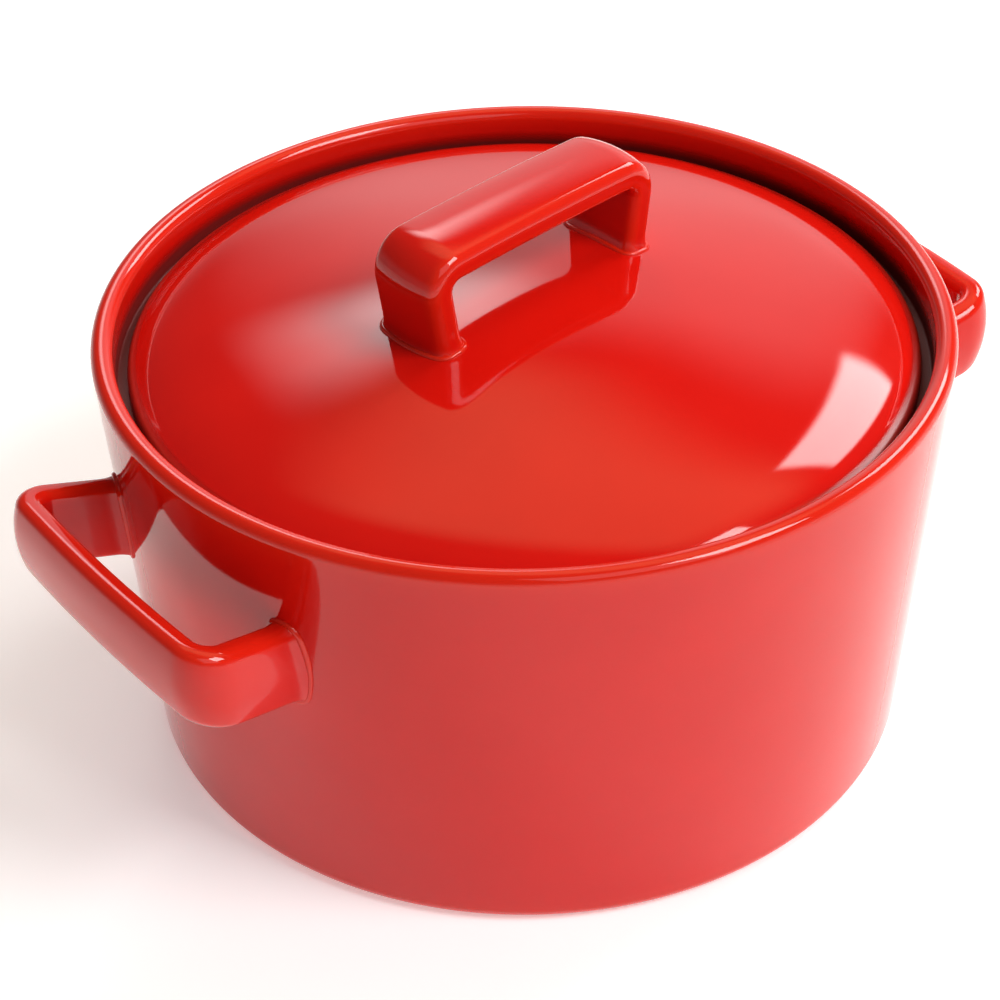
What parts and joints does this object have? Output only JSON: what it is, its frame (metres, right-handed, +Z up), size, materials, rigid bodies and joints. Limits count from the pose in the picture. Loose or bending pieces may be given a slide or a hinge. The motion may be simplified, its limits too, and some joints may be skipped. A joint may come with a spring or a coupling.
{
  "type": "covered stock pot",
  "caption": "Wide straight-sided glazed stoneware stock pot with a domed lid seated inside the rim, a strap arch on the lid and a strap loop handle on each side.",
  "frame": {"origin": "centre of the foot ring's face, on the surface the pot stands on", "axes": "+Z up along the pot's axis; -X through the left side handle, +X towards the right one; +Y away from the user"},
  "size_m": [0.3507, 0.29, 0.201],
  "materials": {
    "red_glaze": "gloss"
  },
  "bodies": {
    "pot": {"pot_body": "red_glaze", "side_handle_left": "red_glaze", "side_handle_right": "red_glaze", "side_handle_left_front_bead": "red_glaze", "side_handle_left_back_bead": "red_glaze", "side_handle_right_front_bead": "red_glaze", "side_handle_right_back_bead": "red_glaze"},
    "lid": {"lid_shell": "red_glaze", "lid_handle": "red_glaze", "lid_handle_left_bead": "red_glaze", "lid_handle_right_bead": "red_glaze"}
  },
  "joints": [
    {"name": "lid_lift", "type": "slide", "parent": "pot", "child": "lid", "axis": [0, 0, 1], "range_m": [0, 0.08]}
  ]
}
